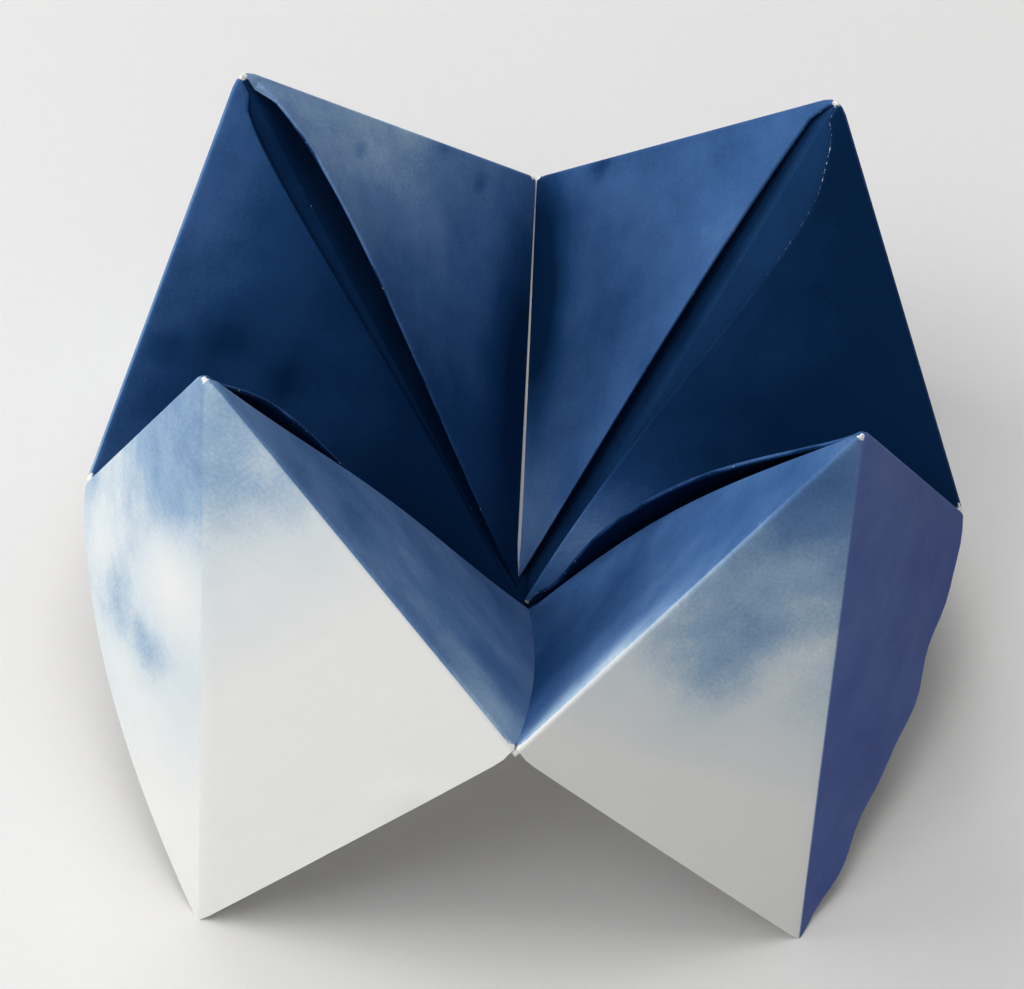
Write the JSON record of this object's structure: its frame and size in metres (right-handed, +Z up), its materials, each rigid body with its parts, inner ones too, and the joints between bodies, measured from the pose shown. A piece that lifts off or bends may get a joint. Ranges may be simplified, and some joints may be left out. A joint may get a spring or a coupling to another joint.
{
  "type": "paper fortune teller",
  "caption": "Square sheet of blue-washed white paper folded into a finger game with corner pockets, standing open on its corners.",
  "frame": {"origin": "under the middle of the bounding box, on the ground that the four corners stand on", "axes": "+X to the right and +Y away from someone who looks from the front, +Z up"},
  "size_m": [0.1, 0.0915, 0.0718],
  "materials": {
    "paper": "matt uncoated paper with a blue wash on one side"
  },
  "bodies": {
    "root": {"folded_sheet": "paper"}
  },
  "joints": []
}
